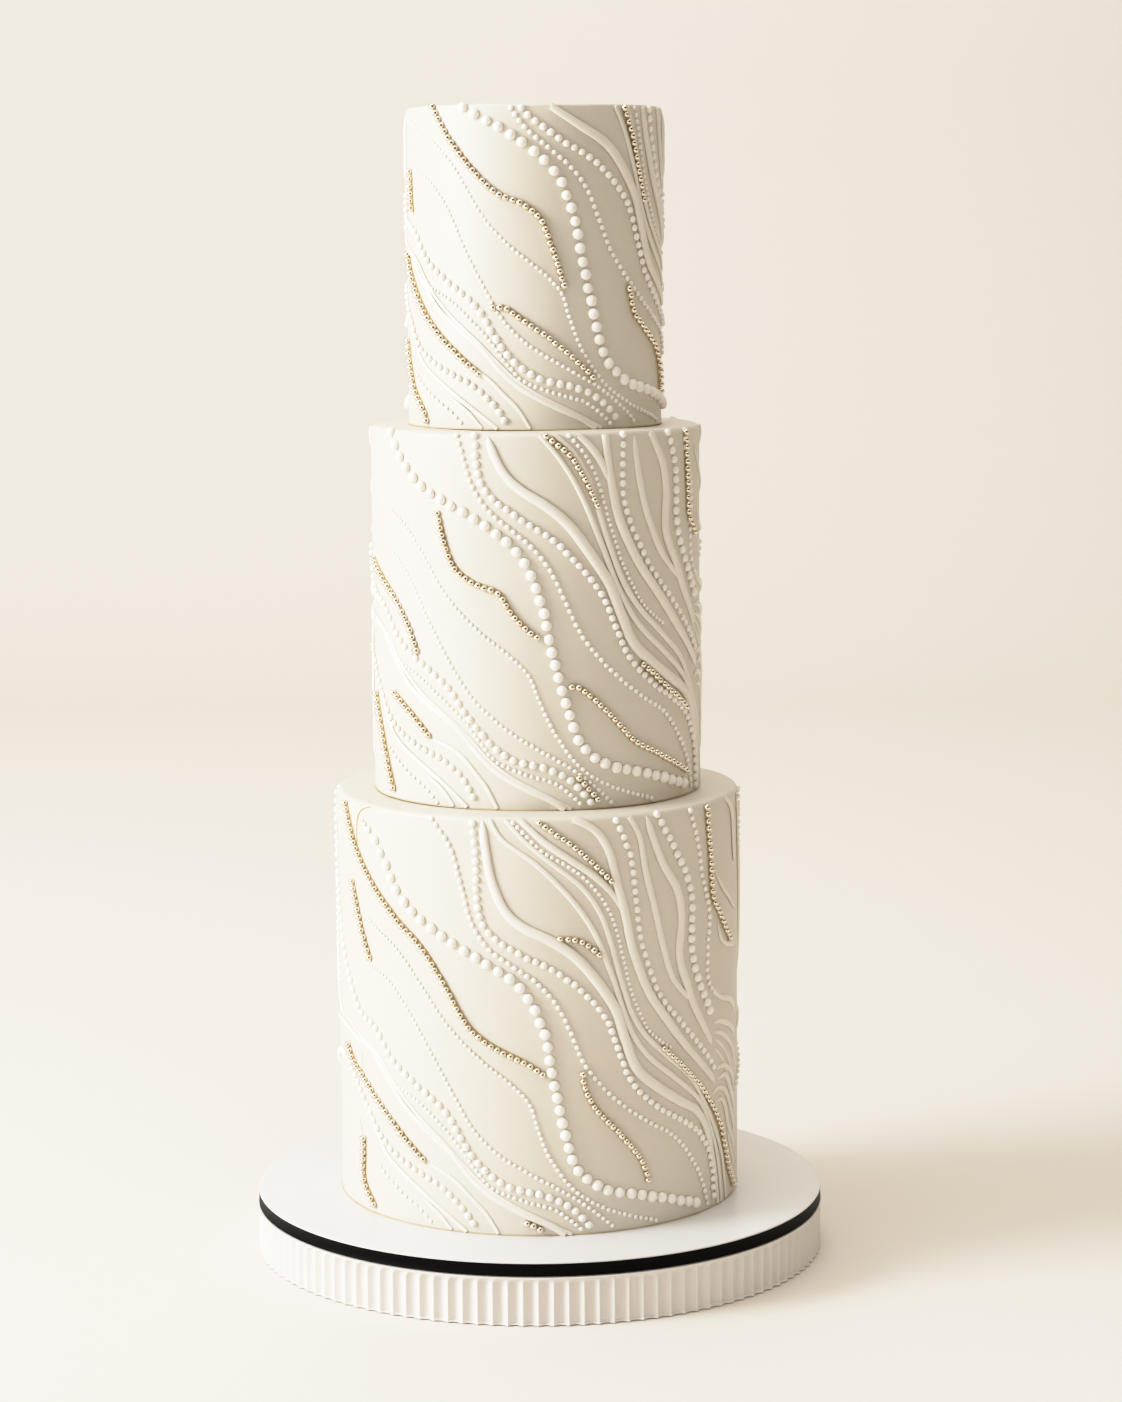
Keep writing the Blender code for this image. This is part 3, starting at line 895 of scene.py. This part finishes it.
# Partly gold lustre, partly painted shade: its dark bronze shows in the gaps between the balls and at
# their side.
def lustre_and_gap_shade_material():
    material, shader = surfaced(
        "gold_lustre_and_gap_shade", (0.44, 0.315, 0.145), (0.55, 0.41, 0.21), roughness=0.5,
        drift_scale=500.0, grain_scale=1800.0, grain_depth=0.00004,
    )
    shader.inputs["Metallic"].default_value = 0.4
    return material


champagne_gold = gold_material()
gold_lustre_and_gap_shade = lustre_and_gap_shade_material()
# The lustre line under each run, which peeks out between and beside the balls as painted shade.
LUSTRE_SHADE_SECTION = np.array([
    (-0.5, -0.08), (-0.42, 0.05), (0.42, 0.05), (0.5, -0.08), (-0.5, -0.08),
])
LUSTRE_SHADE_WIDTH, LUSTRE_SHADE_ASIDE = 0.0040, 0.0003
HAIR_SECTION = np.array([(-0.5, -0.3), (-0.4, 0.4), (0.4, 0.4), (0.5, -0.3), (-0.5, -0.3)])
HAIR_WIDTH = 0.0006
LINE_STEP, LINE_TIP = 0.003, 0.004
GOLD_HAIRS = {
    "bottom": (
        ((-119, 256.5), (-125, 255), (-131, 252), (-135.6, 245.9), (-136, 235), (-135, 228)),
        ((-131.5, 102.5), (-132.2, 92.8), (-131, 86)),
        ((-137, 59), (-135, 52), (-132, 45)),
    ),
}


def dragees(tier):
    places, widths, lines = [], [], []
    for knots in GOLD_RUNS[tier["name"]]:
        path = kept_on_wall(smooth_path(knots), tier, foot_room=BALL_WIDTH / 2, edge_room=1.2)
        if len(path) < FEWEST_STRAND_POINTS:
            continue
        spacing = (BALL_WIDTH, BALL_WIDTH, BALL_GAP, BALL_GAP)
        run_places, run_widths = strung(path, *(size / 1000 for size in spacing))
        places.append(run_places)
        widths.append(run_widths)
        # Under each run, the lustre line that also paints the shade between and beside the balls.
        for turn in HALVES:
            lines.append(laid_run(
                tier, path, [LUSTRE_SHADE_WIDTH] * 3, turn, LUSTRE_SHADE_SECTION, LINE_STEP, LINE_TIP,
                LUSTRE_SHADE_ASIDE,
            ))
    for knots in GOLD_HAIRS.get(tier["name"], ()):
        for turn in HALVES:
            lines.append(laid_run(
                tier, smooth_path(knots) / 1000, [HAIR_WIDTH] * 3, turn, HAIR_SECTION,
                LINE_STEP, LINE_TIP,
            ))
    balls = joined_dots(
        f"{tier['name']}_dragees", tier, np.vstack(places), np.concatenate(widths), BALL_SUNK,
        dot_template(segments=16, rings=12, flatness=1.0), champagne_gold,
    )
    line = finished_piece(
        gathered(lines), f"{tier['name']}_gold_lines", [gold_lustre_and_gap_shade], crease_degrees=50.0
    )
    for piece in (balls, line):
        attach(piece, "root")


for tier in TIERS:
    dragees(tier)
